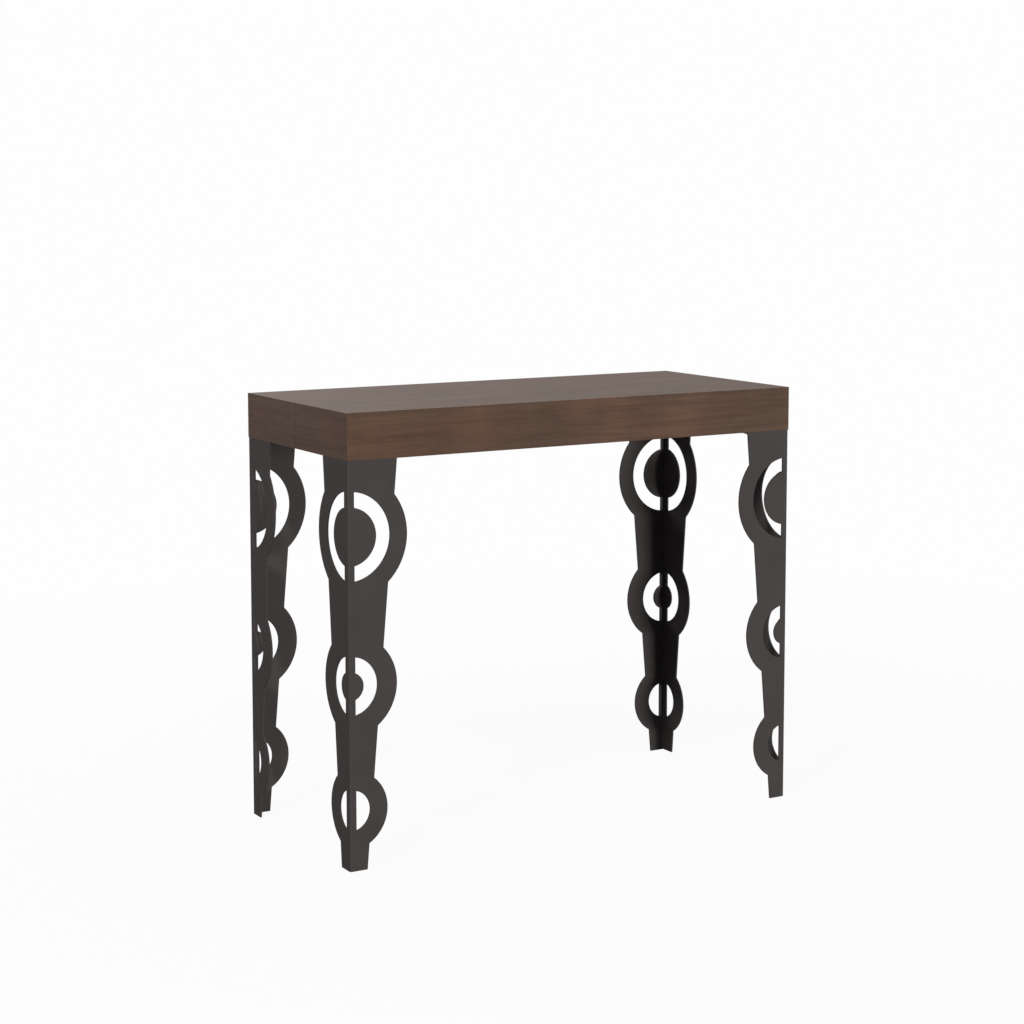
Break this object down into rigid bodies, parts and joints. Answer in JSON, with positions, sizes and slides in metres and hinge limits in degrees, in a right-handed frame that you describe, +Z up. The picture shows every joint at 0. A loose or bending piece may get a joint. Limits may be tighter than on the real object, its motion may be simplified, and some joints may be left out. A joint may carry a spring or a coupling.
{
  "type": "extending console table",
  "caption": "Narrow console table with a deep apron on folded steel legs with ring cut-outs; its two half tops pull apart on telescopic rails to make a long table.",
  "frame": {"origin": "on the floor, under the middle of the closed table", "axes": "+X along the table, +Y from the front to the rear half, +Z up"},
  "size_m": [0.9, 0.4, 0.768],
  "materials": {
    "walnut_laminate": "satin",
    "leg_steel": "matt",
    "raw_wood": "raw",
    "rail_aluminium": "satin",
    "glide_plastic": "matt",
    "zinc_steel": "zinc plated"
  },
  "bodies": {
    "rear_half": {"rear_top_panel": "walnut_laminate", "rear_apron": "walnut_laminate", "rear_left_apron": "walnut_laminate", "rear_right_apron": "walnut_laminate", "rear_left_leg": "leg_steel", "rear_right_leg": "leg_steel", "rear_corner_blocks": "raw_wood", "rear_leg_inserts": "zinc_steel", "rear_leg_plates": "leg_steel", "rear_leg_bolts": "zinc_steel", "rear_rail_cleats": "raw_wood", "rear_wood_screws": "zinc_steel", "left_rail_1": "rail_aluminium", "right_rail_1": "rail_aluminium", "rail_glides_1": "glide_plastic", "latch_keeper": "zinc_steel"},
    "rail_stage_2": {"left_rail_2": "rail_aluminium", "right_rail_2": "rail_aluminium", "rail_glides_2": "glide_plastic"},
    "rail_stage_3": {"left_rail_3": "rail_aluminium", "right_rail_3": "rail_aluminium", "rail_glides_3": "glide_plastic"},
    "rail_stage_4": {"left_rail_4": "rail_aluminium", "right_rail_4": "rail_aluminium", "rail_glides_4": "glide_plastic"},
    "rail_stage_5": {"left_rail_5": "rail_aluminium", "right_rail_5": "rail_aluminium", "rail_glides_5": "glide_plastic"},
    "rail_stage_6": {"left_rail_6": "rail_aluminium", "right_rail_6": "rail_aluminium", "rail_glides_6": "glide_plastic"},
    "rail_stage_7": {"left_rail_7": "rail_aluminium", "right_rail_7": "rail_aluminium", "rail_glides_7": "glide_plastic"},
    "rail_stage_8": {"left_rail_8": "rail_aluminium", "right_rail_8": "rail_aluminium", "rail_glides_8": "glide_plastic"},
    "rail_stage_9": {"left_rail_9": "rail_aluminium", "right_rail_9": "rail_aluminium", "rail_glides_9": "glide_plastic"},
    "front_half": {"front_top_panel": "walnut_laminate", "front_apron": "walnut_laminate", "front_left_apron": "walnut_laminate", "front_right_apron": "walnut_laminate", "front_left_leg": "leg_steel", "front_right_leg": "leg_steel", "front_corner_blocks": "raw_wood", "front_leg_inserts": "zinc_steel", "front_leg_plates": "leg_steel", "front_leg_bolts": "zinc_steel", "front_rail_cleats": "raw_wood", "front_wood_screws": "zinc_steel", "left_rail_10": "rail_aluminium", "right_rail_10": "rail_aluminium", "rail_glides_10": "glide_plastic", "alignment_dowels": "raw_wood", "latch_base": "zinc_steel", "latch_pivot": "zinc_steel"},
    "latch": {"latch_lever": "zinc_steel"}
  },
  "joints": [
    {"name": "table_extension", "type": "slide", "parent": "rear_half", "child": "rail_stage_2", "axis": [0, -1, 0], "range_m": [0, 0.2889]},
    {"name": "rail_slide_2", "type": "slide", "parent": "rail_stage_2", "child": "rail_stage_3", "axis": [0, -1, 0], "range_m": [0, 0.2889]},
    {"name": "rail_slide_3", "type": "slide", "parent": "rail_stage_3", "child": "rail_stage_4", "axis": [0, -1, 0], "range_m": [0, 0.2889]},
    {"name": "rail_slide_4", "type": "slide", "parent": "rail_stage_4", "child": "rail_stage_5", "axis": [0, -1, 0], "range_m": [0, 0.2889]},
    {"name": "rail_slide_5", "type": "slide", "parent": "rail_stage_5", "child": "rail_stage_6", "axis": [0, -1, 0], "range_m": [0, 0.2889]},
    {"name": "rail_slide_6", "type": "slide", "parent": "rail_stage_6", "child": "rail_stage_7", "axis": [0, -1, 0], "range_m": [0, 0.2889]},
    {"name": "rail_slide_7", "type": "slide", "parent": "rail_stage_7", "child": "rail_stage_8", "axis": [0, -1, 0], "range_m": [0, 0.2889]},
    {"name": "rail_slide_8", "type": "slide", "parent": "rail_stage_8", "child": "rail_stage_9", "axis": [0, -1, 0], "range_m": [0, 0.2889]},
    {"name": "rail_slide_9", "type": "slide", "parent": "rail_stage_9", "child": "front_half", "axis": [0, -1, 0], "range_m": [0, 0.2889]},
    {"name": "latch_swing", "type": "hinge", "parent": "front_half", "child": "latch", "pos_m": [-0.01795, -0.024, 0.7422], "axis": [0, 0, 1], "range_deg": [0, 90]}
  ],
  "couplings": [
    {"joint": "rail_slide_2", "follows": "table_extension", "ratio": 1},
    {"joint": "rail_slide_3", "follows": "table_extension", "ratio": 1},
    {"joint": "rail_slide_4", "follows": "table_extension", "ratio": 1},
    {"joint": "rail_slide_5", "follows": "table_extension", "ratio": 1},
    {"joint": "rail_slide_6", "follows": "table_extension", "ratio": 1},
    {"joint": "rail_slide_7", "follows": "table_extension", "ratio": 1},
    {"joint": "rail_slide_8", "follows": "table_extension", "ratio": 1},
    {"joint": "rail_slide_9", "follows": "table_extension", "ratio": 1}
  ]
}
